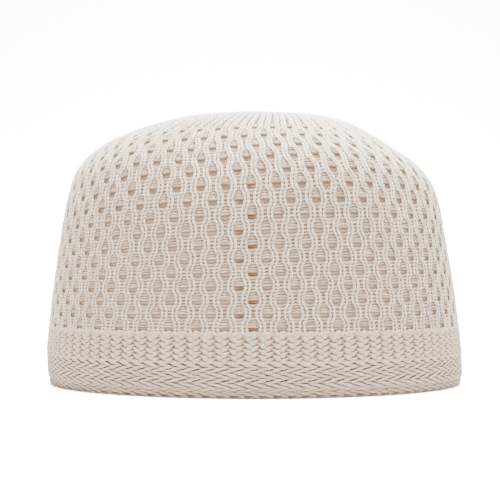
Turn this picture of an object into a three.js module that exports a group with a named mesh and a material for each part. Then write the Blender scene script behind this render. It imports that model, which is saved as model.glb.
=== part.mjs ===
// A knitted kufi: a soft round cap, oval in plan, that stands on its thick braided edge.
// Four stitch zones lie one above the other: braided hem, ribbed band, eyelet wall and plain crown.
// Millimetres, +Z up, X along the oval. The origin is at the middle of the oval, on the surface it stands on.

import * as THREE from 'three';

// Overall size of the cap standing by itself.
const LENGTH = 184;
const WIDTH = 145;
const HEIGHT = 119;

// Depths of the lower zones, measured up along the cloth from the bottom edge.
const HEM_DEPTH = 16.6;
const BAND_DEPTH = 11.6;

// Length of the plain crown along X, and how far the upper rows climb towards +X.
const CROWN_LENGTH = 108;
const ROW_TILT = 4.5;
const TILT_POWER = 0.7;

// Thickness of the knit in each zone, and the flat foot under the hem.
const HEM_WALL = 5.2;
const BAND_WALL = 3.4;
const MESH_WALL = 2.3;
const CROWN_WALL = 2.5;
const FOOT_WIDTH = 1.8;
const SEAM_GAP = 0.3;

// Braids of the hem and ribs of the band: relief is the depth of the groove between two of them.
const BRAID_ROWS = 4;
const BRAID_RELIEF = 0.8;
const HEM_FACETS = 72;
const RIB_RELIEF = 0.9;

// Eyelets: each row is set off by half a pitch from the row below it.
const EYELETS_AROUND = 46;
const OPEN_ROWS = 2;
const ROW_PITCH = 5.4;
const EYELET_WIDTH = 4.1;
const EYELET_HEIGHT = 6.0;
const EYELET_BAR = 0.7;

// Rings of facets from the crown's seam to its centre.
const CROWN_BANDS = 6;

// Depth of the deepest soft dent.
const DENT_DEPTH = 2.4;

const RIBS_AROUND = 2 * EYELETS_AROUND;

// Side outline from the bottom edge to the centre of the crown.
// rise is a share of HEIGHT, reach a share of the half size, lean a share of half the LENGTH.
const FORM = [
  { rise: 0.000, reach: 0.948, lean: -0.005 },
  { rise: 0.030, reach: 0.994, lean: 0.003 },
  { rise: 0.070, reach: 1.000, lean: 0.000 },
  { rise: 0.150, reach: 0.998, lean: -0.003 },
  { rise: 0.330, reach: 0.973, lean: -0.005 },
  { rise: 0.520, reach: 0.938, lean: -0.009 },
  { rise: 0.700, reach: 0.893, lean: -0.012 },
  { rise: 0.800, reach: 0.824, lean: -0.028 },
  { rise: 0.870, reach: 0.718, lean: -0.040 },
  { rise: 0.920, reach: 0.604, lean: -0.032 },
  { rise: 0.960, reach: 0.475, lean: -0.006 },
  { rise: 0.985, reach: 0.352, lean: 0.008 },
  { rise: 0.997, reach: 0.190, lean: 0.008 },
  { rise: 1.000, reach: 0.000, lean: 0.008 },
];

// Rings of facets up the closed part of the eyelet wall, closer together over the shoulder.
// up is the share of the way from the open rows to the crown's seam.
const WALL_RINGS = [
  { up: 0.20 },
  { up: 0.41 },
  { up: 0.56 },
  { up: 0.67 },
  { up: 0.76 },
  { up: 0.84 },
  { up: 0.92 },
  { up: 1.00 },
];

// Soft dents. turn is in degrees around the cap from +X towards +Y, up is the share of the way
// along the cloth, wide is in degrees, tall is a share of that way, deep is a share of DENT_DEPTH.
const DENTS = [
  { turn: 8, up: 0.62, wide: 20, tall: 0.050, deep: 0.50 },
  { turn: 282, up: 0.91, wide: 42, tall: 0.045, deep: 0.60 },
  { turn: 96, up: 0.66, wide: 30, tall: 0.090, deep: 1.00 },
  { turn: 205, up: 0.52, wide: 24, tall: 0.100, deep: 0.70 },
  { turn: 148, up: 0.34, wide: 26, tall: 0.120, deep: 0.60 },
  { turn: 38, up: 0.40, wide: 22, tall: 0.120, deep: 0.50 },
];

const TURN = 2 * Math.PI;
const UP = new THREE.Vector3(0, 0, 1);

// The side outline as a smooth curve: x holds the reach, y the lean and z the rise, in millimetres.
const outline = new THREE.CatmullRomCurve3(
  FORM.map((row) => new THREE.Vector3(
    row.reach * LENGTH / 2,
    row.lean * LENGTH / 2,
    row.rise * HEIGHT,
  )),
  false,
  'catmullrom',
);
outline.arcLengthDivisions = 2000;
const clothLength = outline.getLength();

// The oval plan, which spaces stitches evenly around the cap.
const plan = new THREE.EllipseCurve(0, 0, LENGTH / 2, WIDTH / 2);
plan.arcLengthDivisions = 2000;

// Turn around the cap at a share of the way round it, from +X towards +Y.
function turnAt(share) {
  return TURN * plan.getUtoTmapping(share);
}

// Way along the cloth at which the narrowing upper outline has the given reach.
function alongAtReach(reach) {
  let low = clothLength / 3;
  let high = clothLength;
  while (high - low > 0.001) {
    const middle = (low + high) / 2;
    if (outline.getPointAt(middle / clothLength).x > reach) {
      low = middle;
    } else {
      high = middle;
    }
  }
  return low;
}

const hemTop = HEM_DEPTH;
const bandTop = HEM_DEPTH + BAND_DEPTH;
const crownSeam = alongAtReach(CROWN_LENGTH / 2);

// The rows above the band climb towards +X, more so the higher they lie.
function tilted(along, turn) {
  const climb = THREE.MathUtils.clamp((along - bandTop) / (crownSeam - bandTop), 0, 1);
  return along + ROW_TILT * climb ** TILT_POWER * Math.cos(turn);
}

// A point of the smooth outer form before its dents.
function formPoint(along, turn) {
  const share = THREE.MathUtils.clamp(along / clothLength, 0, 1);
  const row = outline.getPointAt(share);
  return new THREE.Vector3(
    row.y + row.x * Math.cos(turn),
    row.x * Math.sin(turn) * WIDTH / LENGTH,
    row.z,
  );
}

// Outward direction of the form, from the slopes along the cloth and around the cap.
function formNormal(along, turn) {
  const step = 0.05;
  const angle = 0.002;
  if (along > clothLength - step) {
    return UP.clone();
  }
  const rising = formPoint(along + step, turn).sub(formPoint(Math.max(along - step, 0), turn));
  const round = formPoint(along, turn + angle).sub(formPoint(along, turn - angle));
  return round.cross(rising).normalize();
}

// How deep the dents push the cloth in at a place.
function dentDepth(along, turn) {
  let depth = 0;
  for (const dent of DENTS) {
    const away = THREE.MathUtils.euclideanModulo(turn / TURN * 360 - dent.turn + 180, 360) - 180;
    const above = along / clothLength - dent.up;
    depth += DENT_DEPTH * dent.deep * Math.exp(-((away / dent.wide) ** 2) - (above / dent.tall) ** 2);
  }
  return depth;
}

// A point of the cloth, sunk below the outer form.
function clothPoint(along, turn, sunk) {
  const depth = sunk + dentDepth(along, turn);
  return formPoint(along, turn).addScaledVector(formNormal(along, turn), -depth);
}

// A net is a list of places on the cloth and the triangles between them, facing out.
function emptyNet() {
  return { places: [], faces: [] };
}

// Adds a closed ring of places and gives their numbers back.
// levelAt and sunkAt say where each place lies along the cloth and how deep it is.
function addRing(net, count, levelAt, sunkAt = () => 0, foot = false) {
  return Array.from({ length: count }, (_, i) => {
    const turn = turnAt(i / count);
    net.places.push({ along: levelAt(turn, i), turn, sunk: sunkAt(turn, i), foot });
    return net.places.length - 1;
  });
}

// Fills the strip between two rings of equal count.
function addStrip(net, lower, upper) {
  lower.forEach((a, i) => {
    const next = (i + 1) % lower.length;
    net.faces.push([a, lower[next], upper[next]], [a, upper[next], upper[i]]);
  });
}

// Fills the strip between a ring and one above it that has half as many places.
function addHalvingStrip(net, lower, upper) {
  upper.forEach((top, i) => {
    const nextTop = upper[(i + 1) % upper.length];
    const a = lower[2 * i];
    const b = lower[2 * i + 1];
    const c = lower[(2 * i + 2) % lower.length];
    net.faces.push([a, b, top], [b, nextTop, top], [b, c, nextTop]);
  });
}

// Gives a net its thickness: an outer face, an inner face and a wall along every open edge.
function thicken(net, wall) {
  const outer = net.places.map((place) => clothPoint(place.along, place.turn, place.sunk));
  const inner = net.places.map((place, i) => {
    if (!place.foot) {
      return clothPoint(place.along, place.turn, wall);
    }
    const inward = new THREE.Vector3(
      -Math.cos(place.turn) / LENGTH,
      -Math.sin(place.turn) / WIDTH,
      0,
    );
    return outer[i].clone().addScaledVector(inward.normalize(), FOOT_WIDTH);
  });
  const shift = outer.length;
  const faces = [];
  const edges = new Map();
  for (const [a, b, c] of net.faces) {
    faces.push(a, b, c, a + shift, c + shift, b + shift);
    for (const [from, to] of [[a, b], [b, c], [c, a]]) {
      edges.set(`${from} ${to}`, [from, to]);
    }
  }
  for (const [from, to] of edges.values()) {
    if (!edges.has(`${to} ${from}`)) {
      faces.push(to, from, from + shift, to, from + shift, to + shift);
    }
  }
  const geometry = new THREE.BufferGeometry().setFromPoints([...outer, ...inner]);
  geometry.setIndex(faces);
  geometry.computeVertexNormals();
  return geometry;
}

// Thick edge of horizontal braids, with a flat foot all round.
function braidedHem() {
  const net = emptyNet();
  const levels = 2 * BRAID_ROWS;
  const rings = Array.from({ length: levels + 1 }, (_, i) => {
    const along = hemTop * i / levels;
    const groove = i % 2 === 0 && i > 0 && i < levels ? BRAID_RELIEF : 0;
    return addRing(net, HEM_FACETS, () => along, () => groove, i === 0);
  });
  rings.slice(1).forEach((ring, i) => addStrip(net, rings[i], ring));
  return thicken(net, HEM_WALL);
}

// Close upright ribs, with a valley under each column of eyelets.
function ribbedBand() {
  const net = emptyNet();
  const low = hemTop + SEAM_GAP;
  const valleyAt = (turn, i) => (i % 2 === 0 ? RIB_RELIEF : 0);
  const rings = [low, (low + bandTop) / 2, bandTop].map(
    (along) => addRing(net, 2 * RIBS_AROUND, () => along, valleyAt),
  );
  rings.slice(1).forEach((ring, i) => addStrip(net, rings[i], ring));
  return thicken(net, BAND_WALL);
}

// The six corners of one eyelet, seen from outside from its lower left corner round.
const EYELET = [
  { across: -0.38, up: -0.50 },
  { across: 0.38, up: -0.50 },
  { across: 0.50, up: -0.10 },
  { across: 0.24, up: 0.50 },
  { across: -0.24, up: 0.50 },
  { across: -0.50, up: -0.10 },
];

// One row of eyelets between two rings of places, each opening framed by twelve triangles.
// The first eyelet stands over the ring's place of the number start, and the next ones over every
// other place.
function addEyeletRow(net, lower, upper, middle, start) {
  const count = lower.length;
  for (let i = start; i < count; i += 2) {
    const before = (i + count - 1) % count;
    const after = (i + 1) % count;
    const turn = turnAt(i / count);
    const arm = formPoint(middle, turn + 0.01).distanceTo(formPoint(middle, turn - 0.01)) / 0.02;
    const first = net.places.length;
    for (const corner of EYELET) {
      const place = turn + corner.across * EYELET_WIDTH / arm;
      const along = tilted(middle + corner.up * EYELET_HEIGHT, place);
      net.places.push({ along, turn: place, sunk: 0, foot: false });
    }
    const frame = [lower[before], lower[i], lower[after], upper[after], upper[i], upper[before]];
    frame.forEach((corner, k) => {
      const next = (k + 1) % frame.length;
      net.faces.push([corner, frame[next], first + k], [frame[next], first + next, first + k]);
    });
  }
}

// Open wall: the lowest rows of eyelets are cut through, and the rest follows the shoulder up.
function eyeletWall() {
  const net = emptyNet();
  const low = bandTop + SEAM_GAP;
  const wave = (EYELET_HEIGHT + 2 * EYELET_BAR - ROW_PITCH) / 2;
  let lower = addRing(net, RIBS_AROUND, (turn) => tilted(low, turn));
  let edge = low;
  for (let row = 0; row < OPEN_ROWS; row += 1) {
    const start = (row + 1) % 2;
    const middle = low + EYELET_BAR + EYELET_HEIGHT / 2 + row * ROW_PITCH;
    const level = middle + ROW_PITCH / 2;
    const upper = addRing(net, RIBS_AROUND, (turn, i) => (
      tilted(level + (i % 2 === start ? wave : -wave), turn)
    ));
    addEyeletRow(net, lower, upper, middle, start);
    lower = upper;
    edge = level + wave;
  }
  const top = crownSeam - SEAM_GAP;
  const rings = WALL_RINGS.map((row) => {
    const along = edge + (top - edge) * row.up;
    return addRing(net, EYELETS_AROUND, (turn) => tilted(along, turn));
  });
  addHalvingStrip(net, lower, rings[0]);
  rings.slice(1).forEach((ring, i) => addStrip(net, rings[i], ring));
  return thicken(net, MESH_WALL);
}

// Plain top, closed at its centre.
function knitCrown() {
  const net = emptyNet();
  const levelAt = (share) => (turn) => {
    const seam = tilted(crownSeam, turn);
    return seam + (clothLength - seam) * share;
  };
  const rings = Array.from({ length: CROWN_BANDS }, (_, i) => (
    addRing(net, EYELETS_AROUND, levelAt(i / CROWN_BANDS))
  ));
  rings.slice(1).forEach((ring, i) => addStrip(net, rings[i], ring));
  net.places.push({ along: clothLength, turn: 0, sunk: 0, foot: false });
  const centre = net.places.length - 1;
  const last = rings[rings.length - 1];
  last.forEach((a, i) => net.faces.push([a, last[(i + 1) % last.length], centre]));
  return thicken(net, CROWN_WALL);
}

// A piece of the cap in its own shade of cream yarn.
function yarnPiece(name, geometry, color) {
  const material = new THREE.MeshStandardMaterial({ color, roughness: 0.95, metalness: 0 });
  const piece = new THREE.Mesh(geometry, material);
  piece.name = name;
  return piece;
}

const kufi = new THREE.Group();
kufi.add(
  yarnPiece('braided_hem', braidedHem(), 0xded6ca),
  yarnPiece('ribbed_band', ribbedBand(), 0xdcd3c6),
  yarnPiece('eyelet_wall', eyeletWall(), 0xe0d9ce),
  yarnPiece('knit_crown', knitCrown(), 0xe6e2dc),
);

export default kufi;
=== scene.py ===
"""A knitted openwork kufi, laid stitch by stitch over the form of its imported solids.

The cap is one soft oval form. Each stitch zone is yarn carried over that form: the middle of a yarn is a
function of its course and of its place round the cap, and a thin tube follows it. From the surface
up the zones are a folded braided hem, a ribbed band, an openwork wall and a close crown.
"""

import logging
from dataclasses import dataclass, replace
from enum import Enum, IntEnum
from typing import NamedTuple

import bpy
import numpy as np
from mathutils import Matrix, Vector


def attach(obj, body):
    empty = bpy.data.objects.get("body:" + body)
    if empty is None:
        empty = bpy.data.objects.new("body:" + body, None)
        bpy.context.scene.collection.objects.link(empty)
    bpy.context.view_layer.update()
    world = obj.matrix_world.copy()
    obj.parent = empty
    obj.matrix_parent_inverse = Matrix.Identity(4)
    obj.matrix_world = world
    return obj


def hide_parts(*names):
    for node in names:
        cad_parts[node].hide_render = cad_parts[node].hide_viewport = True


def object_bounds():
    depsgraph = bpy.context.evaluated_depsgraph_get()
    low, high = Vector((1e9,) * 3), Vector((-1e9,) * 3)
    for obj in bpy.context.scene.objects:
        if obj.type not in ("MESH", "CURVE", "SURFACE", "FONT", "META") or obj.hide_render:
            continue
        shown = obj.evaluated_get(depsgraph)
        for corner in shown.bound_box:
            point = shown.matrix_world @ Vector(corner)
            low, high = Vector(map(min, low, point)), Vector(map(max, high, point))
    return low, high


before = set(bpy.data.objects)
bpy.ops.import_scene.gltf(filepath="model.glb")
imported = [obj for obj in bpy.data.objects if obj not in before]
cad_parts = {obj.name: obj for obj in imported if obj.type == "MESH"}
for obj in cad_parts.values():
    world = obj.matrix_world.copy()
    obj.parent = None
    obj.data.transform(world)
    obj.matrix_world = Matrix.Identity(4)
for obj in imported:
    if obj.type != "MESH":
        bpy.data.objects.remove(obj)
cad_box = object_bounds()

log = logging.getLogger("kufi")

Array = np.ndarray
Colour = tuple[float, float, float]
Point = tuple[float, float, float]

MM = 0.001
TAU = 2 * np.pi
TINY = 1e-12
UPRIGHT = np.array([0.0, 0.0, 1.0])


class OutlinePoint(NamedTuple):
    """A point of the side outline: rise is a share of the height, reach and lean of half the length."""

    rise: float
    reach: float
    lean: float


class Dent(NamedTuple):
    """A soft dent: turn and wide in degrees, up and tall as shares of the cloth, deep of the depth."""

    turn: float
    up: float
    wide: float
    tall: float
    deep: float


OUTLINE = (
    OutlinePoint(0.000, 0.948, -0.005),
    OutlinePoint(0.030, 0.994, 0.003),
    OutlinePoint(0.070, 1.000, 0.000),
    OutlinePoint(0.150, 0.998, -0.003),
    OutlinePoint(0.330, 0.973, -0.005),
    OutlinePoint(0.520, 0.938, -0.009),
    OutlinePoint(0.700, 0.898, -0.014),
    OutlinePoint(0.800, 0.837, -0.032),
    OutlinePoint(0.870, 0.733, -0.045),
    OutlinePoint(0.920, 0.620, -0.034),
    OutlinePoint(0.963, 0.492, -0.006),
    OutlinePoint(0.988, 0.372, 0.008),
    OutlinePoint(0.999, 0.190, 0.008),
    OutlinePoint(1.000, 0.000, 0.008),
)

DENTS = (
    Dent(8, 0.62, 20, 0.050, 0.50),
    Dent(282, 0.91, 42, 0.045, 0.60),
    Dent(96, 0.66, 30, 0.090, 1.00),
    Dent(205, 0.52, 24, 0.100, 0.70),
    Dent(148, 0.34, 26, 0.120, 0.60),
    Dent(38, 0.40, 22, 0.120, 0.50),
    Dent(256, 0.53, 22, 0.085, 1.00),
    Dent(318, 0.47, 13, 0.080, 0.80),
)


class MaterialSlot(Enum):
    """The record's material slots, one for each stitch zone."""

    BRAID = "braid_yarn"
    RIB = "rib_yarn"
    MESH = "mesh_yarn"
    CROWN = "crown_yarn"


class Recess(IntEnum):
    """How far in a point of the yarn lies, which sets how much painted shade it takes; the numbers between
    these blend one into the next. The last level marks the painted shadow of the seam.
    """

    FACE = 0
    HOLLOW = 1
    INNER = 2
    PAINTED_SEAM_SHADOW = 3


def smooth_step(value: Array, start: float, end: float) -> Array:
    """Rises from 0 at start to 1 at end as 3s squared minus 2s cubed.

    Args:
        value: the numbers to look up.
        start: the value at which the rise begins.
        end: the value at which it is complete.

    Returns:
        The height of the step at each value.
    """
    share = np.clip((value - start) / (end - start), 0.0, 1.0)
    return share * share * (3.0 - 2.0 * share)


def blend(first: Array | float, second: Array | float, share: Array) -> Array:
    """Goes in a straight line from first at share 0 to second at share 1."""
    return first + (second - first) * share


def unit(vectors: Array) -> Array:
    """Scales vectors to length one."""
    return vectors / np.maximum(np.linalg.norm(vectors, axis=-1, keepdims=True), TINY)


def add_object(name: str, data: bpy.types.ID) -> bpy.types.Object:
    """Makes an object and puts it in the scene.

    Args:
        name: name of the object.
        data: its mesh, light or camera.

    Returns:
        The object, at the origin.
    """
    thing = bpy.data.objects.new(name, data)
    bpy.context.scene.collection.objects.link(thing)
    return thing


@dataclass
class CapForm:
    """The outer form of the cloth: that of the solids, a little fuller at the shoulder.

    It also has two soft dents in front, the last two of the list, that the solids don't have. A place
    is the share of the way round the cap, from +X towards +Y, and the way along the cloth from the
    bottom edge to the centre of the crown.
    """

    length: float
    width: float
    height: float
    hem_depth: float = 15.75 * MM
    band_depth: float = 11.55 * MM
    crown_length: float = 108 * MM
    row_tilt: float = 4.5 * MM
    tilt_power: float = 0.7
    dent_depth: float = 2.4 * MM
    narrows_from: float = 1 / 3
    outline: tuple[OutlinePoint, ...] = OUTLINE
    dents: tuple[Dent, ...] = DENTS
    steps: int = 200
    turn_steps: int = 4000

    def __post_init__(self) -> None:
        """Samples the outline and the oval plan once."""
        self.curve = self.sample_outline()
        pieces = np.linalg.norm(np.diff(self.curve, axis=0), axis=1)
        self.alongs = np.concatenate([[0.0], np.cumsum(pieces)])
        self.slopes = np.gradient(self.curve, self.alongs, axis=0)
        self.cloth_length = float(self.alongs[-1])
        self.band_top = self.hem_depth + self.band_depth
        self.girth = np.pi * (self.length + self.width) / 2
        narrowing = self.alongs > self.cloth_length * self.narrows_from
        self.crown_seam = float(np.interp(
            -self.crown_length / 2,
            -self.curve[narrowing, 0],
            self.alongs[narrowing],
        ))
        self.turns = np.linspace(0.0, TAU, self.turn_steps + 1)
        speed = np.hypot(self.length * np.sin(self.turns), self.width * np.cos(self.turns))
        way = np.concatenate([[0.0], np.cumsum((speed[1:] + speed[:-1]) / 2)])
        self.shares = way / way[-1]

    def sample_outline(self) -> Array:
        """Runs a Catmull-Rom curve through the outline points, each end carried on in a straight line.

        Between points b and c, with neighbours a and d, the curve is the cubic that leaves b with the
        slope (c - a) / 2 and reaches c with the slope (d - b) / 2.

        Returns:
            Rows of reach, lean and rise in metres.
        """
        half = self.length / 2
        size = np.array([half, half, self.height])
        points = np.array([(p.reach, p.lean, p.rise) for p in self.outline]) * size
        before = 2 * points[0] - points[1]
        after = 2 * points[-1] - points[-2]
        a = np.vstack([before, points[:-2]])[:, None]
        b = points[:-1, None]
        c = points[1:, None]
        d = np.vstack([points[2:], after])[:, None]
        s = np.linspace(0.0, 1.0, self.steps, endpoint=False)[None, :, None]
        leave = (c - a) / 2
        arrive = (d - b) / 2
        cubic = (2 * b - 2 * c + leave + arrive) * s**3 + (-3 * b + 3 * c - 2 * leave - arrive) * s**2
        rows = (cubic + leave * s + b).reshape(-1, 3)
        return np.vstack([rows, points[-1]])

    def look_up(self, table: Array, along: Array) -> Array:
        """Reads a table of three columns at ways along the cloth."""
        return np.stack([np.interp(along, self.alongs, table[:, i]) for i in range(3)], axis=-1)

    def turn_at(self, share: Array) -> Array:
        """Turn round the cap at which the given share of the oval's arc is passed."""
        return np.interp(np.mod(share, 1.0), self.shares, self.turns)

    def reach_share(self, along: Array) -> Array:
        """Reach of the outline at a way along the cloth, as a share of its widest."""
        return np.interp(along, self.alongs, self.curve[:, 0]) / (self.length / 2)

    def around(self, along: Array) -> Array:
        """Length round the form: pi times the mean of length and width, times the share of the reach."""
        return self.girth * self.reach_share(along)

    def tilted(self, along: Array, turn: Array) -> Array:
        """Shifts the rows above the band so that they climb towards +X.

        The shift is the tilt times the cosine of the turn, growing with a power of the way from the band
        to the crown's seam, and it fades to nothing at the centre of the crown.

        Args:
            along: ways along the cloth of level rows.
            turn: turns round the cap.

        Returns:
            The ways along the cloth at which the rows lie.
        """
        climb = np.clip((along - self.band_top) / (self.crown_seam - self.band_top), 0.0, 1.0)
        fade = 1 - np.clip((along - self.crown_seam) / (self.cloth_length - self.crown_seam), 0.0, 1.0)
        return along + self.row_tilt * climb**self.tilt_power * fade * np.cos(turn)

    def dent_at(self, along: Array, turn: Array) -> Array:
        """Depth of the soft dents: the sum of bells exp(-(away / wide)^2 - (above / tall)^2).

        Args:
            along: ways along the cloth.
            turn: turns round the cap.

        Returns:
            The depth of the dents at each place.
        """
        depth = np.zeros_like(along)
        for dent in self.dents:
            away = np.mod(np.degrees(turn) - dent.turn + 180, 360) - 180
            above = along / self.cloth_length - dent.up
            bell = np.exp(-((away / dent.wide) ** 2) - (above / dent.tall) ** 2)
            depth += self.dent_depth * dent.deep * bell
        return depth

    def outward_at(self, along: Array, turn: Array) -> Array:
        """Outward direction of the form: the slope round the cap crossed with the slope up the cloth.

        Args:
            along: ways along the cloth.
            turn: turns round the cap.

        Returns:
            Directions of length one.
        """
        slope = self.look_up(self.slopes, along)
        flat = self.width / self.length
        rising = slope[..., 2]
        level = -(slope[..., 0] + slope[..., 1] * np.cos(turn))
        return unit(np.stack([flat * np.cos(turn) * rising, np.sin(turn) * rising, flat * level], axis=-1))

    def place(self, share: Array, along: Array, sunk: Array) -> tuple[Array, Array]:
        """Points of the cloth, sunk below the outer form and its dents along the outward direction.

        A point of the form is lean + reach cos(turn), reach sin(turn) width / length, rise.

        Args:
            share: shares of the way round.
            along: ways along the cloth, before the rows are tilted.
            sunk: depths below the outer form.

        Returns:
            The points and the outward directions there.
        """
        turn = self.turn_at(share)
        level = np.clip(self.tilted(along, turn), 0.0, self.cloth_length)
        row = self.look_up(self.curve, level)
        across = row[..., 0] * np.sin(turn) * self.width / self.length
        points = np.stack([row[..., 1] + row[..., 0] * np.cos(turn), across, row[..., 2]], axis=-1)
        outward = self.outward_at(level, turn)
        depth = sunk + self.dent_at(level, turn)
        return points - outward * depth[..., None], outward


@dataclass(frozen=True)
class Depths:
    """Depths below the outer face at which hollows are complete and at which the inner face begins; they
    set the painted shade of the hollows and of the inner face.
    """

    hollow: float
    inside: float
    inner_step: float = 0.35 * MM

    def recess(self, below: Array) -> Array:
        """Recess at some depths: up to 1 over the hollow, and 1 more over the step to the inner face."""
        inner = smooth_step(below, self.inside, self.inside + self.inner_step)
        return np.clip(below / self.hollow, 0.0, 1.0) + inner


def ring_quads(yarns: int, samples: int, sides: int) -> Array:
    """Joins each ring of points to the next one round closed yarns.

    Point c of ring s of yarn y has the number (y samples + s) sides + c.

    Args:
        yarns: number of yarns.
        samples: number of rings in a yarn.
        sides: number of points in a ring.

    Returns:
        Rows of four point numbers.
    """
    yarn, sample, corner = np.meshgrid(
        np.arange(yarns), np.arange(samples), np.arange(sides), indexing="ij"
    )
    ring = (yarn * samples + sample) * sides
    after = (yarn * samples + (sample + 1) % samples) * sides
    turned = (corner + 1) % sides
    quads = np.stack([ring + corner, ring + turned, after + turned, after + corner], axis=-1)
    return quads.reshape(-1, 4)


def ring_coords(middle: Array, sides: int) -> Array:
    """Lays the faces of closed yarns out flat.

    Args:
        middle: middles of the yarns, as yarn, sample and x, y, z.
        sides: number of points in a ring.

    Returns:
        For each corner of each face the way along the yarn in metres and the share of the turn round it.
    """
    gaps = np.linalg.norm(np.roll(middle, -1, axis=1) - middle, axis=-1)
    way = np.cumsum(np.pad(gaps, ((0, 0), (1, 0))), axis=1)
    turn = np.arange(sides + 1) / sides
    start, end, low, high = np.broadcast_arrays(way[:, :-1, None], way[:, 1:, None], turn[:-1], turn[1:])
    corners = ((start, low), (start, high), (end, high), (end, low))
    return np.stack([np.stack(corner, axis=-1) for corner in corners], axis=-2).reshape(-1, 4, 2)


@dataclass
class YarnMesh:
    """Tubes of yarn as plain arrays, ready to become one mesh: points, faces, their UVs and the recess."""

    points: Array
    quads: Array
    coords: Array
    recess: Array

    @classmethod
    def tubes(
        cls, middle: Array, outward: Array, radius: Array, sunk: Array, sides: int, depths: Depths
    ) -> "YarnMesh":
        """Carries a ring of points along closed yarns.

        The ring stands square to the yarn: with the yarn's direction d and the cloth's outward direction
        n, its axes are s = n x d and u = d x s, and its points are middle + radius (s cos a + u sin a).

        Args:
            middle: middles of the yarns, as yarn, sample and x, y, z.
            outward: outward directions of the cloth there.
            radius: radius of the yarn at each sample.
            sunk: depth of each middle below the outer face.
            sides: number of points in a ring.
            depths: depths that give the recess.

        Returns:
            The tubes.
        """
        direction = unit(np.roll(middle, -1, axis=1) - np.roll(middle, 1, axis=1))
        side = unit(np.cross(outward, direction))
        up = np.cross(direction, side)
        angle = TAU * np.arange(sides) / sides
        offset = side[:, :, None] * np.cos(angle)[:, None] + up[:, :, None] * np.sin(angle)[:, None]
        points = middle[:, :, None] + radius[:, :, None, None] * offset
        lift = np.einsum("ysrk,ysk->ysr", offset, outward) * radius[:, :, None]
        recess = depths.recess(sunk[:, :, None] - lift)
        quads = ring_quads(*middle.shape[:2], sides)
        return cls(points.reshape(-1, 3), quads, ring_coords(middle, sides), recess.reshape(-1))

    @classmethod
    def joined(cls, parts: "list[YarnMesh]") -> "YarnMesh":
        """Puts several sets of tubes into one.

        Args:
            parts: the sets.

        Returns:
            All their tubes.
        """
        starts = np.cumsum([0] + [len(part.points) for part in parts[:-1]])
        return cls(
            np.concatenate([part.points for part in parts]),
            np.concatenate([part.quads + start for part, start in zip(parts, starts)]),
            np.concatenate([part.coords for part in parts]),
            np.concatenate([part.recess for part in parts]),
        )

    def to_object(self, name: str) -> bpy.types.Object:
        """Makes a Blender object of the tubes, with a UV map along the yarn and the recess on its points.

        Args:
            name: name of the piece.

        Returns:
            The object, at the origin.
        """
        faces, corners = self.quads.shape
        mesh = bpy.data.meshes.new(name)
        mesh.vertices.add(len(self.points))
        mesh.vertices.foreach_set("co", self.points.astype(np.float32).ravel())
        mesh.loops.add(self.quads.size)
        mesh.loops.foreach_set("vertex_index", self.quads.astype(np.int32).ravel())
        mesh.polygons.add(faces)
        mesh.polygons.foreach_set("loop_start", np.arange(0, self.quads.size, corners, dtype=np.int32))
        mesh.polygons.foreach_set("loop_total", np.full(faces, corners, dtype=np.int32))
        mesh.update(calc_edges=True)
        mesh.polygons.foreach_set("use_smooth", np.ones(faces, dtype=bool))
        uv = mesh.uv_layers.new(name="yarn")
        uv.data.foreach_set("uv", self.coords.astype(np.float32).ravel())
        recess = mesh.attributes.new("recess", "FLOAT", "POINT")
        recess.data.foreach_set("value", self.recess.astype(np.float32))
        mesh.validate()
        return add_object(name, mesh)


class Noise(NamedTuple):
    """A noise in Object coordinates."""

    scale: float
    detail: float
    rough: float


LOOSE_FIBRES = Noise(5200.0, 2.0, 0.6)
BROAD_DYE = Noise(70.0, 3.0, 0.5)
FINE_DYE = Noise(900.0, 2.0, 0.5)
ROUGH_LEAST = 0.82
ROUGH_SPREAD = 0.12

# Places of the share and the two colours, and of the result, among the sockets of a Mix node.
MIX_INPUTS = (0, 6, 7)
MIX_OUTPUT = 2


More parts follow.
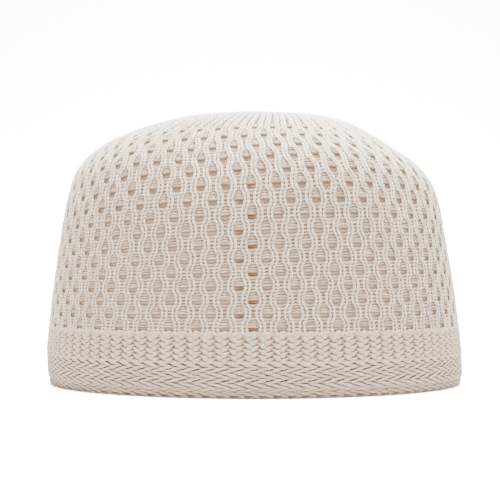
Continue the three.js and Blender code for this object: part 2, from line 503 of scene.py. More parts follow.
class NodeTree:
    """Short ways to add and join nodes in one tree."""

    def __init__(self, tree: bpy.types.NodeTree) -> None:
        """Keeps the tree."""
        self.tree = tree

    @classmethod
    def emptied(cls, owner: bpy.types.ID) -> "NodeTree":
        """Clears the nodes of a material or a world.

        Args:
            owner: the material or world.

        Returns:
            Its empty tree.
        """
        owner.use_nodes = True
        owner.node_tree.nodes.clear()
        return cls(owner.node_tree)

    def add(self, kind: str, *sources: object, **settings: object) -> bpy.types.Node:
        """Adds a node and feeds its inputs in order.

        Args:
            kind: the node's type name.
            sources: for each input, a socket to join, a value to set, or None to leave it.
            settings: the node's own settings.

        Returns:
            The node.
        """
        node = self.tree.nodes.new(kind)
        for name, value in settings.items():
            setattr(node, name, value)
        for socket, source in zip(node.inputs, sources):
            self.feed(socket, source)
        return node

    def add_named(self, kind: str, sources: dict[str, object], **settings: object) -> bpy.types.Node:
        """Adds a node and feeds its inputs by name.

        Args:
            kind: the node's type name.
            sources: a socket to join or a value to set, for each input's name.
            settings: the node's own settings.

        Returns:
            The node.
        """
        node = self.add(kind, **settings)
        for name, source in sources.items():
            self.feed(node.inputs[name], source)
        return node

    def feed(self, socket: bpy.types.NodeSocket, source: object) -> None:
        """Joins a socket to an input, or sets its value.

        Args:
            socket: the input.
            source: a socket, a value, or None to leave the input as it is.
        """
        if isinstance(source, bpy.types.NodeSocket):
            self.tree.links.new(source, socket)
        elif source is not None:
            socket.default_value = source

    def math(self, operation: str, *sources: object, clamp: bool = False) -> bpy.types.NodeSocket:
        """Adds a Math node and gives its result."""
        return self.add("ShaderNodeMath", *sources, operation=operation, use_clamp=clamp).outputs[0]

    def noise(self, place: bpy.types.NodeSocket, noise: Noise) -> bpy.types.NodeSocket:
        """Adds a Noise Texture node and gives its value."""
        return self.add("ShaderNodeTexNoise", place, None, *noise).outputs[0]

    def mix(self, share: object, first: object, second: object) -> bpy.types.NodeSocket:
        """Mixes two colours.

        Args:
            share: share of the second colour.
            first: the first colour.
            second: the second colour.

        Returns:
            The mixed colour.
        """
        node = self.add("ShaderNodeMix", data_type="RGBA")
        for place, source in zip(MIX_INPUTS, (share, first, second)):
            self.feed(node.inputs[place], source)
        return node.outputs[MIX_OUTPUT]


class SocketKind(Enum):
    """Kinds of socket on a node group."""

    NUMBER = "NodeSocketFloat"
    COLOUR = "NodeSocketColor"
    VECTOR = "NodeSocketVector"


def new_group(
    name: str, inputs: dict[str, SocketKind], outputs: dict[str, SocketKind]
) -> bpy.types.NodeTree:
    """Makes an empty shader node group with named inputs and outputs.

    Args:
        name: name of the group.
        inputs: the sockets that it takes.
        outputs: the sockets that it gives.

    Returns:
        The group.
    """
    group = bpy.data.node_groups.new(name, "ShaderNodeTree")
    for way, sockets in {"INPUT": inputs, "OUTPUT": outputs}.items():
        for socket, kind in sockets.items():
            group.interface.new_socket(socket, in_out=way, socket_type=kind.value)
    return group


def yarn_relief_group() -> bpy.types.NodeTree:
    """Height of twisted plies and of loose fibres on a yarn.

    The plies are the cosine of TAU (plies times the way round plus turns times the way along), brought
    between 0 and 1, and the fibres are fine noise.

    Returns:
        The node group, made once.
    """
    name = "yarn_relief"
    if name in bpy.data.node_groups:
        return bpy.data.node_groups[name]
    inputs = {
        "Yarn": SocketKind.VECTOR,
        "Place": SocketKind.VECTOR,
        "Plies": SocketKind.NUMBER,
        "Turns": SocketKind.NUMBER,
        "Fibre": SocketKind.NUMBER,
    }
    group = new_group(name, inputs, {"Height": SocketKind.NUMBER})
    nodes = NodeTree(group)
    given = nodes.add("NodeGroupInput").outputs
    parts = nodes.add("ShaderNodeSeparateXYZ", given["Yarn"]).outputs
    turning = nodes.math("MULTIPLY", parts["X"], given["Turns"])
    around = nodes.math("MULTIPLY", parts["Y"], given["Plies"])
    angle = nodes.math("MULTIPLY", nodes.math("ADD", turning, around), TAU)
    plies = nodes.math("MULTIPLY_ADD", nodes.math("COSINE", angle), 0.5, 0.5)
    hairs = nodes.math("MULTIPLY", nodes.noise(given["Place"], LOOSE_FIBRES), given["Fibre"])
    nodes.add("NodeGroupOutput", nodes.math("ADD", plies, hairs))
    return group


def yarn_tone_group() -> bpy.types.NodeTree:
    """Colour of the yarn: lit on its outer face, a warmer painted shade in the hollows, and soft uneven
    dye.

    The recess, on a smooth step from its start to 1, mixes the lit colour towards the deep one, a painted
    shade; from 1 to 2 it leads to that of the inner face, a painted shade too, and from 2 to 3 to the
    painted shadow of the seam. Two noises of different size make the lit colour a little darker here and
    there. The glow output is the same without the lit colour: a painted glow, given as emission, that
    stands in for the light that has passed through the yarn into its hollows.

    Returns:
        The node group, made once.
    """
    name = "yarn_tone"
    if name in bpy.data.node_groups:
        return bpy.data.node_groups[name]
    inputs = {
        "Place": SocketKind.VECTOR,
        "Recess": SocketKind.NUMBER,
        "Lit": SocketKind.COLOUR,
        "Shaded": SocketKind.COLOUR,
        "Painted Hollow Shade": SocketKind.COLOUR,
        "Painted Inner Shade": SocketKind.COLOUR,
        "Seam": SocketKind.COLOUR,
        "Uneven": SocketKind.NUMBER,
        "Start": SocketKind.NUMBER,
    }
    outputs = {
        "Color": SocketKind.COLOUR,
        "Roughness": SocketKind.NUMBER,
        "Painted Glow": SocketKind.COLOUR,
    }
    group = new_group(name, inputs, outputs)
    nodes = NodeTree(group)
    given = nodes.add("NodeGroupInput").outputs
    broad = nodes.noise(given["Place"], BROAD_DYE)
    fine = nodes.noise(given["Place"], FINE_DYE)
    dye = nodes.math("MULTIPLY", nodes.math("ADD", broad, fine), given["Uneven"])
    dyed = nodes.mix(dye, given["Lit"], given["Shaded"])
    # Masks of painted shade: the hollows, then the inner face, then the strip of the seam's painted shadow.
    step = nodes.add("ShaderNodeMapRange", given["Recess"], given["Start"], interpolation_type="SMOOTHSTEP")
    hollow = step.outputs[0]
    inner = nodes.math("SUBTRACT", given["Recess"], Recess.HOLLOW, clamp=True)
    seam = nodes.math("SUBTRACT", given["Recess"], Recess.INNER, clamp=True)
    tones = []
    # First pass: the colour with its painted shade; second pass, from black: the painted glow.
    for face in (dyed, (0.0, 0.0, 0.0, 1.0)):
        tone = nodes.mix(inner, nodes.mix(hollow, face, given["Painted Hollow Shade"]), given["Painted Inner Shade"])
        tones.append(nodes.mix(seam, tone, given["Seam"]))
    colour, painted_glow = tones
    rough = nodes.math("MULTIPLY_ADD", fine, ROUGH_SPREAD, ROUGH_LEAST)
    nodes.add("NodeGroupOutput", colour, rough, painted_glow)
    return group


@dataclass(frozen=True)
class YarnFinish:
    """Dyed cotton yarn: colours from its outer face to its hollows, those of the hollows painted shade, and
    the depth of its plies.

    start is the recess at which the deep colour, a painted shade, begins, and turns are the twists in a
    metre of yarn.
    """

    slot: MaterialSlot
    lit: Colour = (0.93, 0.775, 0.60)
    shaded: Colour = (0.82, 0.66, 0.485)
    # deep, inner and seam colours are painted shade: of the hollows, the inner face and the seam's shadow.
    deep: Colour = (0.26, 0.17, 0.10)
    inner: Colour = (0.58, 0.42, 0.29)
    seam: Colour = (0.25, 0.13, 0.068)
    uneven: float = 0.34
    start: float = 0.07
    plies: float = 3.0
    turns: float = 420.0
    fibre: float = 0.35
    relief: float = 0.09 * MM
    relief_strength: float = 0.7
    shine: float = 0.15
    sheen: float = 0.08
    sheen_roughness: float = 0.5
    # Strength of the painted glow: emission in the hollows standing in for light bounced into them.
    painted_glow: float = 0.42

    @property
    def name(self) -> str:
        """Name of the material."""
        return f"{self.slot.value}_knit"

    def material(self) -> bpy.types.Material:
        """Builds the material: a rough, softly sheened surface over the tone and relief groups, with
        painted shade in the hollows and a painted glow there given as emission.

        Returns:
            The material.
        """
        material = bpy.data.materials.new(self.name)
        nodes = NodeTree.emptied(material)
        place = nodes.add("ShaderNodeTexCoord").outputs["Object"]
        tone = nodes.add_named("ShaderNodeGroup", {
            "Place": place,
            "Recess": nodes.add("ShaderNodeAttribute", attribute_name="recess").outputs["Fac"],
            "Lit": (*self.lit, 1.0),
            "Shaded": (*self.shaded, 1.0),
            "Painted Hollow Shade": (*self.deep, 1.0),
            "Painted Inner Shade": (*self.inner, 1.0),
            "Seam": (*self.seam, 1.0),
            "Uneven": self.uneven,
            "Start": self.start,
        }, node_tree=yarn_tone_group())
        relief = nodes.add_named("ShaderNodeGroup", {
            "Yarn": nodes.add("ShaderNodeUVMap", uv_map="yarn").outputs[0],
            "Place": place,
            "Plies": self.plies,
            "Turns": self.turns,
            "Fibre": self.fibre,
        }, node_tree=yarn_relief_group())
        bump = nodes.add_named("ShaderNodeBump", {
            "Strength": self.relief_strength,
            "Distance": self.relief,
            "Height": relief.outputs["Height"],
        })
        shader = nodes.add_named("ShaderNodeBsdfPrincipled", {
            "Base Color": tone.outputs["Color"],
            "Roughness": tone.outputs["Roughness"],
            "Normal": bump.outputs["Normal"],
            # Painted glow: emission in the hollows and inside, standing in for light bounced into them.
            "Emission Color": tone.outputs["Painted Glow"],
            "Emission Strength": self.painted_glow,
            "Sheen Weight": self.sheen,
            "Sheen Roughness": self.sheen_roughness,
            "Specular IOR Level": self.shine,
        })
        nodes.add("ShaderNodeOutputMaterial", shader.outputs[0])
        return material


def dress(knit: YarnMesh, name: str, finish: YarnFinish, node: str) -> bpy.types.Object:
    """Makes a piece of some yarns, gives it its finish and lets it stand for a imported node.

    Args:
        knit: the yarns.
        name: name of the piece.
        finish: its yarn.
        node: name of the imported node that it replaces.

    Returns:
        The piece.
    """
    piece = knit.to_object(name)
    piece.data.materials.append(bpy.data.materials.get(finish.name) or finish.material())
    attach(piece, "root")
    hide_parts(node)
    return piece


def uneven(points: Array, radius: Array, drift: float, swell: float, seed: int) -> tuple[Array, Array]:
    """Makes yarn a little uneven, as a hand or a machine leaves it.

    Args:
        points: middles of the yarns.
        radius: their radii.
        drift: how far a middle strays in each direction.
        swell: by what share a radius strays.
        seed: number that fixes the chance.

    Returns:
        The strayed middles and radii.
    """
    chance = np.random.default_rng(seed)
    strayed = points + chance.normal(0.0, drift, points.shape)
    return strayed, radius * (1 + chance.normal(0.0, swell, radius.shape))


class StitchPoint(NamedTuple):
    """A point of a stitch: across in pitches, up in courses, out in reliefs, full in yarn radii."""

    across: float
    up: float
    out: float
    full: float


def mirrored(arm: tuple[StitchPoint, ...], across: int, up: int) -> tuple[StitchPoint, ...]:
    """Runs back along an arm of a stitch, with its across and up multiplied by 1 or -1."""
    return tuple(p._replace(across=across * p.across, up=up * p.up) for p in reversed(arm))


BRAID_ARM = (
    StitchPoint(1.02, -0.02, 1.7, 0.42),
    StitchPoint(0.62, -0.05, 1.9, 0.45),
    StitchPoint(0.32, -0.13, 1.3, 0.62),
    StitchPoint(0.00, -0.24, 1.0, 0.98),
    StitchPoint(-0.32, -0.37, 1.3, 0.62),
    StitchPoint(-0.62, -0.45, 1.9, 0.45),
    StitchPoint(-1.02, -0.48, 1.7, 0.42),
)

BRAID_STITCH = (
    StitchPoint(0.50, -0.50, -2.4, 1.65),
    *BRAID_ARM,
    StitchPoint(-0.50, 0.00, -2.4, 1.65),
    *mirrored(BRAID_ARM, across=1, up=-1),
)

RIB_ARM = (
    StitchPoint(-0.06, -0.30, 0.2, 1.20),
    StitchPoint(-0.20, -0.12, 0.3, 1.40),
    StitchPoint(-0.36, 0.10, 0.7, 0.95),
    StitchPoint(-0.52, 0.30, 1.4, 0.40),
    StitchPoint(-0.69, 0.48, 1.2, 0.34),
)

RIB_STITCH = (
    StitchPoint(0.30, -0.56, -1.4, 0.50),
    *RIB_ARM,
    StitchPoint(0.00, 0.78, -2.4, 1.10),
    *mirrored(RIB_ARM, across=-1, up=1),
    StitchPoint(-0.30, -0.60, -1.4, 0.50),
    StitchPoint(0.50, -0.60, -2.8, 1.10),
)


@dataclass
class BraidedHem:
    """The thick folded edge: plain knitting turned on its side and rolled round to the inside.

    Each yarn is a closed ring round the section of the fold, and its stitches lie on their side, so
    that their arms make rows of chevrons that point round the cap.
    """

    form: CapForm
    finish: YarnFinish
    columns: int = 92
    phase: float = 0.5
    rows: int = 8
    row_height: float = 4.1 * MM
    wall: float = 5.2 * MM
    yarn_radius: float = 1.00 * MM
    relief: float = 0.55 * MM
    drift: float = 0.05 * MM
    swell: float = 0.04
    seed: int = 11
    sides: int = 6
    tuck: float = 5.0 * MM
    depths: Depths = Depths(hollow=0.90 * MM, inside=20.0 * MM)
    stitch: tuple[StitchPoint, ...] = BRAID_STITCH

    def section(self, way: Array, lift: Array) -> tuple[Array, Array, Array, Array]:
        """Follows the fold's section: straight up outside, round the top, down inside, round the bottom.

        Args:
            way: way along the section from the start of the straight outside.
            lift: how far to stand out from the section's middle line.

        Returns:
            The inset below the outer form, the way along the cloth, and the outward direction there as
            its parts out of the cloth and up the cloth.
        """
        skin = self.yarn_radius + self.relief
        bend = self.wall / 2 - skin
        turn = np.pi * bend
        straight = self.rows * self.row_height / 2 - turn
        way = np.mod(way, self.rows * self.row_height)
        top = np.clip((way - straight) / turn, 0.0, 1.0)
        foot = np.clip((way - 2 * straight - turn) / turn, 0.0, 1.0)
        angle = np.pi * (top + foot)
        outside = np.clip(way, 0.0, straight)
        inside = np.clip(way - straight - turn, 0.0, straight)
        out = np.cos(angle)
        up = np.sin(angle)
        inset = self.wall / 2 - (bend + lift) * out
        along = skin + bend + outside - inside + (bend + lift) * up
        return inset, along, out, up

    def build(self) -> list[bpy.types.Object]:
        """Lays the yarns round the section, each stitch hooked through its neighbour.

        A point lies its way across from its column, in columns, and its way up from its row, in row
        heights round the section, and it stands out by its reliefs.

        Returns:
            The hem as one piece.
        """
        table = np.array(self.stitch)
        row = np.repeat(np.arange(self.rows), len(table))
        across, up_way, out_by, full = np.tile(table, (self.rows, 1)).T
        first = self.row_height / 2 - self.wall / 2
        lift = self.relief * out_by
        section = self.section(first + self.row_height * (row + up_way), lift)
        column = np.arange(self.columns)[:, None]
        share = (column + self.phase + across[None]) / self.columns
        inset, along, out, up = (np.broadcast_to(part, share.shape) for part in section)
        held = np.maximum(along, self.tuck)
        points, outward = self.form.place(share, held, inset)
        points[..., 2] *= along / held
        normal = unit(out[..., None] * outward + up[..., None] * UPRIGHT)
        sunk = np.broadcast_to(self.yarn_radius + self.relief - lift, share.shape)
        radius = np.broadcast_to(self.yarn_radius * full, share.shape)
        points, radius = uneven(points, radius, self.drift, self.swell, self.seed)
        points[..., 2] = np.maximum(points[..., 2], radius)
        knit = YarnMesh.tubes(points, normal, radius, sunk, self.sides, self.depths)
        return [dress(knit, "braided_hem_knit", self.finish, "braided_hem")]


@dataclass
class RibbedBand:
    """The close band: slanting ribs of knit stitches, with the stitches between them drawn back.

    Points of a stitch that stand out less than float_out are floats, which don't slant.
    """

    form: CapForm
    finish: YarnFinish
    columns: int = 92
    phase: float = 0.82
    courses: int = 6
    course_height: float = 2.35 * MM
    first_course: float = 0.75 * MM
    yarn_radius: float = 0.97 * MM
    relief: float = 0.40 * MM
    slant: float = 0.50
    float_out: float = -2.0
    closing: float = 0.6 * MM
    squeeze: float = 0.35
    drift: float = 0.05 * MM
    swell: float = 0.04
    seed: int = 5
    sides: int = 6
    depths: Depths = Depths(hollow=0.88 * MM, inside=2.4 * MM)
    stitch: tuple[StitchPoint, ...] = RIB_STITCH

    def build(self) -> list[bpy.types.Object]:
        """Repeats the rib stitch round each course, its right arm higher than its left one.

        A point lies its way across from its column and up from its course, plus or minus half the slant.
        Near the wall the courses are drawn together: what lies above the closing line is squeezed.

        Returns:
            The band as one piece.
        """
        table = np.array(self.stitch)
        column = np.repeat(np.arange(self.columns), len(table))
        across, up_way, out_by, full = np.tile(table, (self.columns, 1)).T
        right_arm = np.arange(len(table)) > len(table) / 2 - 1
        arm = np.tile(np.where(right_arm, 0.5, -0.5), self.columns)
        slanted = up_way + self.slant * arm * (out_by > self.float_out)
        level = self.form.hem_depth + self.first_course + self.course_height * np.arange(self.courses)
        along = level[:, None] + self.course_height * slanted[None]
        line = self.form.band_top - self.closing
        along = np.minimum(along, line) + self.squeeze * np.maximum(along - line, 0.0)
        share = np.broadcast_to((across + column + self.phase) / self.columns, along.shape)
        sunk = np.broadcast_to(self.yarn_radius + self.relief - self.relief * out_by, along.shape)
        points, outward = self.form.place(share, along, sunk)
        radius = np.broadcast_to(self.yarn_radius * full, along.shape)
        points, radius = uneven(points, radius, self.drift, self.swell, self.seed)
        knit = YarnMesh.tubes(points, outward, radius, sunk, self.sides, self.depths)
        return [dress(knit, "ribbed_band_knit", self.finish, "ribbed_band")]


@dataclass(frozen=True)
class EyeletPattern:
    """Where the stitches of the openwork lie.

    Four upright wales stand in each period round the cap. They swing apart and together in turn, so
    that one eyelet opens between two periods and the next one in the middle of a period.
    """

    columns: int = 46
    wales: int = 4
    rows: int = 16
    courses_per_row: int = 4
    row_pitch: float = 5.38 * MM
    first_row: float = 28.4 * MM
    hole_course: float = 0.9
    shoulder_row: int = 5
    shoulder_growth: float = 0.115 * MM
    closed: float = 0.105
    opened: float = 0.230
    sharpness: float = 1.5
    skew: float = 0.35
    widest_course: float = 1.45
    last_swing: float = 63.5
    even_course: float = 76.0
    even: float = 0.150
    snug: float = 0.66
    low_gape: float = 0.10
    low_courses: tuple[int, int] = (4, 12)
    high_gape: float = 0.30
    high_courses: tuple[int, int] = (24, 44)

    @property
    def all_wales(self) -> int:
        """Number of wales round the cap."""
        return self.columns * self.wales

    @property
    def all_courses(self) -> int:
        """Number of courses up the wall."""
        return self.rows * self.courses_per_row

    def along(self, course: Array) -> Array:
        """Way along the cloth of a course: rows of even pitch that grow taller over the shoulder.

        Args:
            course: the course, counted from the band.

        Returns:
            first_row + row_pitch row + shoulder_growth (row - shoulder_row)^2, the last term above
            the shoulder's first row alone.
        """
        row = (course - self.hole_course) / self.courses_per_row
        over = np.maximum(row - self.shoulder_row, 0.0)
        return self.first_row + self.row_pitch * row + self.shoulder_growth * over**2

    def rise(self, course: Array) -> Array:
        """Height of a course: the growth of the way along the cloth from one course to the next."""
        return self.along(course + 0.5) - self.along(course - 0.5)

    def swing(self, course: Array) -> Array:
        """How far the first kind of eyelet is open: a flattened cosine over eight courses.

        The cosine is skewed by adding skew cos 2a to its angle a, so that an eyelet closes faster below
        than above, and opens where the other kind closes.

        Args:
            course: the course.

        Returns:
            0 where the wales stand together and 1 where they stand widest apart.
        """
        held = np.minimum(course, self.last_swing)
        angle = TAU * (held - self.widest_course) / (2 * self.courses_per_row)
        wave = np.cos(angle + self.skew * np.cos(2 * angle))
        return 0.5 + 0.5 * np.tanh(self.sharpness * wave) / np.tanh(self.sharpness)

    def gape(self, course: Array) -> Array:
        """How tall the eyelets stand: more in the lowest row and over the shoulder.

        Args:
            course: the course.

        Returns:
            The height against that of an eyelet half way up the wall.
        """
        low = 1 - smooth_step(course, *self.low_courses)
        high = smooth_step(course, *self.high_courses)
        return 1 + self.low_gape * low + self.high_gape * high

    def fade(self, course: Array) -> Array:
        """How far the wales have drawn together in even pairs above the top row."""
        return smooth_step(course, self.last_swing, self.even_course)

    def wale_share(self, wale: Array, course: Array) -> Array:
        """Share of the way round at which a wale stands in a course.

        In its period an outer wale stands closed + (opened - closed) swing from the edge, and an inner
        one as far from the middle, with 1 - swing. Above the top row both go to the even distance.

        Args:
            wale: number of the wale, four to a period.
            course: the course.

        Returns:
            The share of the way round.
        """
        swing = self.swing(course)
        span = self.opened - self.closed
        outer = blend(self.closed + span * swing, self.even, self.fade(course))
        inner = blend(self.closed + span * (1 - swing), self.even, self.fade(course))
        kind = np.mod(wale, self.wales)
        place = np.select(
            [kind == 0, kind == 1, kind == 2],
            [outer, 0.5 - inner, 0.5 + inner],
            1 - outer,
        )
        return (wale // self.wales + 0.5 + place) / self.columns

    def stitch_width(self, course: Array) -> Array:
        """Width of a stitch as a share of the way round."""
        return blend(self.snug, 1.0, self.fade(course)) / self.all_wales


class Float(NamedTuple):
    """A float across an open eyelet: its course, and how many courses its middle and feet are drawn up."""

    course: int
    middle: float
    foot: float


FLOATS = (
    Float(1, -0.25, 0.00),
    Float(2, 0.90, 0.58),
    Float(3, 0.60, 0.35),
    Float(4, 0.40, 0.15),
    Float(5, 0.18, 0.00),
)


@dataclass
class JerseyStitch:
    """A plain stitch as six places of its yarn, from the middle of the float on its left.

    With t from -pi to pi, a place lies slim width (t / TAU + bow sin 2t) across and height cos t courses
    up, and it stands proud reliefs out of the cloth. The float lies half way to the next wale. hang is
    how far a place follows a float that is drawn up, and fullness how far its yarn fills the course.
    """

    bow: float = 0.28
    slim: float = 0.42
    height: float = 0.78
    relief: float = 0.22 * MM
    yarn_radius: float = 0.39 * MM
    fill: float = 0.53
    turns: tuple[float, ...] = (-1.0, -0.8, -0.4, 0.0, 0.4, 0.8)
    hang: tuple[float, ...] = (0.0, 1.0, 0.3, 0.0, 0.3, 1.0)
    proud: tuple[float, ...] = (-0.2, -0.3, 0.8, -1.0, 0.8, -0.3)
    fullness: tuple[float, ...] = (1.0, 0.8, 0.0, 0.9, 0.0, 0.8)
    depths: Depths = Depths(hollow=0.70 * MM, inside=1.15 * MM)

    def places(self, rows: Array, wales: int) -> tuple[Array, Array, Array, Array]:
        """Lists every place of some rows of stitches.

        Args:
            rows: what tells the rows apart, such as their courses.
            wales: number of wales in a row.

        Returns:
            The row, the wale, the number of the place in its stitch, and its t.
        """
        row, wale, place = np.meshgrid(rows, np.arange(wales), np.arange(len(self.turns)), indexing="ij")
        return row, wale, place, np.pi * np.array(self.turns)[place]

    def across(self, t: Array) -> Array:
        """How far across its wale a place lies, in widths of a stitch."""
        return t / TAU + self.bow * np.sin(2 * t)


@dataclass
class KnitField:
    """Lays whole courses of jersey over the form, between the wales of the eyelet pattern.

    Yarn follows a power of the width of its stitch, and sinks where its stitch is drawn wide. The
    shaded seam lies at painted_seam_shadow_share of the way round; the yarn before it takes its painted
    shadow there.
    """

    form: CapForm
    pattern: EyeletPattern
    stitch: JerseyStitch
    floats: tuple[Float, ...] = FLOATS
    sides: int = 4
    drift: float = 0.06 * MM
    swell: float = 0.10
    seed: int = 7
    bulk_power: float = 0.6
    widest_spare: float = 1.8
    spread_sink: float = 0.2
    behind_level: float = 1.20
    behind_depth: float = 2.50 * MM
    behind_fill: float = 0.67
    # Where and how wide the painted shadow of the seam lies, as shares of the way round.
    painted_seam_shadow_share: float = 0.7460
    painted_seam_shadow_width: float = 0.0105

    def float_lift(self, course: Array, wale: Array, place: Array) -> Array:
        """How many courses a place is drawn up, where an eyelet opens on the left of a wale.

        Args:
            course: number of the course.
            wale: number of the wale on the float's right.
            place: number of the place in its stitch.

        Returns:
            The lift of each place in courses.
        """
        cycle = 2 * self.pattern.courses_per_row
        kind = np.mod(wale, self.pattern.wales)
        phase = np.mod(course + np.where(kind == 2, self.pattern.courses_per_row, 0), cycle)
        middle = np.zeros(cycle)
        foot = np.zeros(cycle)
        for row in self.floats:
            middle[row.course] = row.middle
            foot[row.course] = row.foot
        astride = (kind == 0) | (kind == 2)
        held = course < self.pattern.last_swing
        hang = np.array(self.stitch.hang)[place]
        lift = np.where(place == 0, middle[phase], foot[phase] * hang) * self.pattern.gape(course)
        return np.where(astride & held, lift, 0.0)

    def tubes(self, courses: Array) -> YarnMesh:
        """Lays courses that have every wale of the pattern.

        A place lies at its wale's share plus its own way across, and at its course plus height cos t and
        the lift of its float. The middle of a float lies half way to the wale before.

        Args:
            courses: numbers of the courses, counted from the band.

        Returns:
            One closed yarn for each course.
        """
        pattern = self.pattern
        stitch = self.stitch
        wales = pattern.all_wales
        course, wale, place, t = stitch.places(courses, wales)
        hang = np.where(place == 0, 1.0, np.array(stitch.hang)[place])
        on_left = place < len(stitch.turns) / 2
        after = np.mod(wale + 1, wales)
        lift = self.float_lift(course, np.where(on_left, wale, after), place)
        level = course + stitch.height * np.cos(t) + lift

        here = pattern.wale_share(wale, level)
        gap = np.mod(here - pattern.wale_share(np.mod(wale - 1, wales), level), 1.0)
        after_gap = np.mod(pattern.wale_share(after, level) - here, 1.0)
        width = pattern.stitch_width(level)
        share = np.where(place == 0, here - gap / 2, here + stitch.slim * width * stitch.across(t))
        spare = np.where(on_left, gap, after_gap) / width - 1
        spread = np.clip(spare / self.widest_spare, 0.0, 1.0)

        along = pattern.along(level)
        scale = (width * wales / pattern.snug * self.form.reach_share(along)) ** self.bulk_power
        out = np.array(stitch.proud)[place] - self.spread_sink * spread * hang
        return self.carried(share, along, out, place, scale, pattern.rise(level))

    def behind(self, rows: Array) -> YarnMesh:
        """Carries one smooth yarn behind the eyelets of each row, as deep as the backs of the stitches.

        Its face lies deep enough to take mostly the painted shade of the inner face.

        Args:
            rows: numbers of the rows of eyelets.

        Returns:
            One closed yarn for each row.
        """
        pattern = self.pattern
        level = rows[:, None] * pattern.courses_per_row + self.behind_level
        steps = np.arange(pattern.all_wales) / pattern.all_wales
        share, along = np.broadcast_arrays(steps, pattern.along(level))
        sunk = np.full(share.shape, self.behind_depth)
        radius = np.broadcast_to(self.behind_fill * pattern.rise(level) * pattern.gape(level), share.shape)
        points, outward = self.form.place(share, along, sunk)
        knit = YarnMesh.tubes(points, outward, radius, sunk, self.sides, self.stitch.depths)
        # Painted shadow of the seam on this yarn, in a narrow strip.
        return self.paint_seam_shadow(knit, share)

    def paint_seam_shadow(self, knit: YarnMesh, share: Array) -> YarnMesh:
        """Paints the seam's shadow on yarns, in a narrow strip before the shaded seam.

        There the recess goes to the level of the painted seam shadow by the share exp(-(away / width)^4).

        Args:
            knit: the yarns.
            share: shares of the way round of their middles.

        Returns:
            The darkened yarns.
        """
        away = (np.mod(share, 1.0) - self.painted_seam_shadow_share) / self.painted_seam_shadow_width
        shade = np.repeat(np.exp(-(away**4)).ravel(), self.sides)
        return replace(knit, recess=blend(knit.recess, Recess.PAINTED_SEAM_SHADOW, shade))

    def carried(
        self, share: Array, along: Array, out: Array, place: Array, scale: Array, rise: Array
    ) -> YarnMesh:
        """Carries yarns over the form through places given as yarn, wale and place.

        The arms of a stitch keep the yarn's radius, and its floats and heads swell to fill their course.
        A middle lies the radius and scale relief (1 - out) below the outer form.

        Args:
            share: shares of the way round.
            along: ways along the cloth.
            out: how far the outer faces of the places stand out, in reliefs.
            place: number of the place in its stitch.
            scale: size of the yarn against the stitch's own.
            rise: height of a course.

        Returns:
            One closed yarn for each row.
        """
        stitch = self.stitch
        full = np.array(stitch.fullness)[place]
        radius = blend(stitch.yarn_radius * scale, stitch.fill * rise, full)
        sunk = radius + stitch.relief * (1 - out) * scale
        share, along, sunk, radius = (part.reshape(len(part), -1) for part in (share, along, sunk, radius))
        points, outward = self.form.place(share, along, sunk)
        points, radius = uneven(points, radius, self.drift, self.swell, self.seed)
        return YarnMesh.tubes(points, outward, radius, sunk, self.sides, stitch.depths)


@dataclass
class EyeletWall:
    """The openwork wall: sixteen rows of eyelets with ladders of floats above each hole."""

    field: KnitField
    finish: YarnFinish
    bands: tuple[str, ...] = (
        "eyelet_wall_lower",
        "eyelet_wall_middle",
        "eyelet_wall_upper",
        "eyelet_wall_top",
    )

    def build(self) -> list[bpy.types.Object]:
        """Lays the courses of the wall in a few pieces of like height.

        Returns:
            The pieces from the band up.
        """
        pattern = self.field.pattern
        courses = np.array_split(np.arange(pattern.all_courses), len(self.bands))
        rows = np.array_split(np.arange(pattern.rows), len(self.bands))
        pieces = []
        for name, band_courses, band_rows in zip(self.bands, courses, rows):
            knit = YarnMesh.joined([self.field.tubes(band_courses), self.field.behind(band_rows)])
            pieces.append(dress(knit, name, self.finish, "eyelet_wall"))
        return pieces


